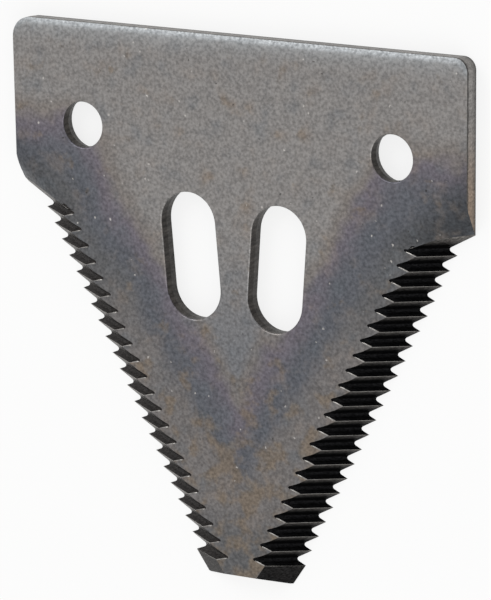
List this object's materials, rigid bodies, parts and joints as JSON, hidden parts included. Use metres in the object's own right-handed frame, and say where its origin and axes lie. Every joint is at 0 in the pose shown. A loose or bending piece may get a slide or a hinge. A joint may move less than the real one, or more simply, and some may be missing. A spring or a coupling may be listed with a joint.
{
  "type": "knife section",
  "caption": "Flat tapered cutter-bar blade with a plain head, rivet holes, oblong slots and serrated bevelled flanks.",
  "frame": {"origin": "midway between the two rivet holes, on the flat back face", "axes": "+Z out of the ground front face, +Y towards the straight edge that backs on to the knife bar"},
  "size_m": [0.0762, 0.0798, 0.003],
  "materials": {
    "knife_section": "satin hardened steel with heat tint along the toothed flanks"
  },
  "bodies": {
    "root": {"knife_section": "knife_section"}
  },
  "joints": []
}
